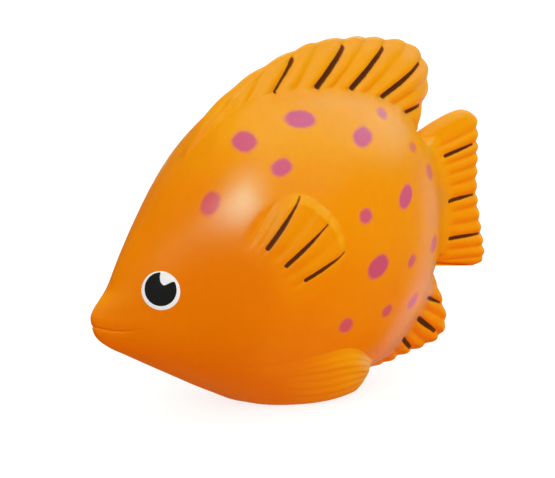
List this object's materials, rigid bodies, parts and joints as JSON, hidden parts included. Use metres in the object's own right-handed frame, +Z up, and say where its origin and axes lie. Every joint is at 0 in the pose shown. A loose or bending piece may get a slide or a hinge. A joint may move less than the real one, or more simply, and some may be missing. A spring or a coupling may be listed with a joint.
{
  "type": "foam squeeze toy fish",
  "caption": "Soft foam fish that stands on its belly, with flanks that press in when squeezed and ribbed fins that bend at their roots; a hand-squeeze toy.",
  "frame": {"origin": "middle of the bounding box on the surface the fish stands on", "axes": "+Z up, head towards -X and tail towards +X, the fish's left side towards -Y"},
  "size_m": [0.0949, 0.0486, 0.0742],
  "materials": {
    "orange_skin": "satin moulded foam skin with sprayed spots and painted stripes",
    "foam": "open foam",
    "eye_white": "satin paint",
    "eye_black": "satin paint"
  },
  "bodies": {
    "torso": {"body_rim": "orange_skin", "foam_core": "foam", "dorsal_fin_root": "orange_skin", "tail_fin_root": "orange_skin", "anal_fin_root": "orange_skin", "pelvic_fin_left": "orange_skin", "pelvic_fin_right": "orange_skin", "eye_white_left": "eye_white", "eye_white_right": "eye_white", "pupil_left": "eye_black", "pupil_right": "eye_black", "glint_left": "eye_white", "glint_right": "eye_white"},
    "flank_left": {"flank_left": "orange_skin", "pectoral_fin_left": "orange_skin"},
    "flank_right": {"flank_right": "orange_skin", "pectoral_fin_right": "orange_skin"},
    "dorsal_fin": {"dorsal_fin": "orange_skin"},
    "tail_fin": {"tail_fin": "orange_skin"},
    "anal_fin": {"anal_fin": "orange_skin"}
  },
  "joints": [
    {"name": "squeeze_left", "type": "slide", "parent": "torso", "child": "flank_left", "axis": [0, 1, 0], "range_m": [0, 0.0075], "stiffness_N_per_m": 1500, "deforming": ["foam_core"]},
    {"name": "squeeze_right", "type": "slide", "parent": "torso", "child": "flank_right", "axis": [0, -1, 0], "range_m": [0, 0.0075], "stiffness_N_per_m": 1500, "deforming": ["foam_core"]},
    {"name": "dorsal_flex", "type": "hinge", "parent": "torso", "child": "dorsal_fin", "pos_m": [0.0053, 0, 0.06032], "axis": [0.9934, 0, -0.115], "range_deg": [-12, 12], "stiffness_Nm_per_rad": 0.06, "deforming": ["dorsal_fin_root"]},
    {"name": "tail_flex", "type": "hinge", "parent": "torso", "child": "tail_fin", "pos_m": [0.03285, 0, 0.03705], "axis": [-0.136, 0, 0.9907], "range_deg": [-20, 20], "stiffness_Nm_per_rad": 0.05, "deforming": ["tail_fin_root"]},
    {"name": "anal_flex", "type": "hinge", "parent": "torso", "child": "anal_fin", "pos_m": [0.02573, 0, 0.01311], "axis": [-0.6559, 0, -0.7549], "range_deg": [-12, 12], "stiffness_Nm_per_rad": 0.03, "deforming": ["anal_fin_root"]}
  ]
}
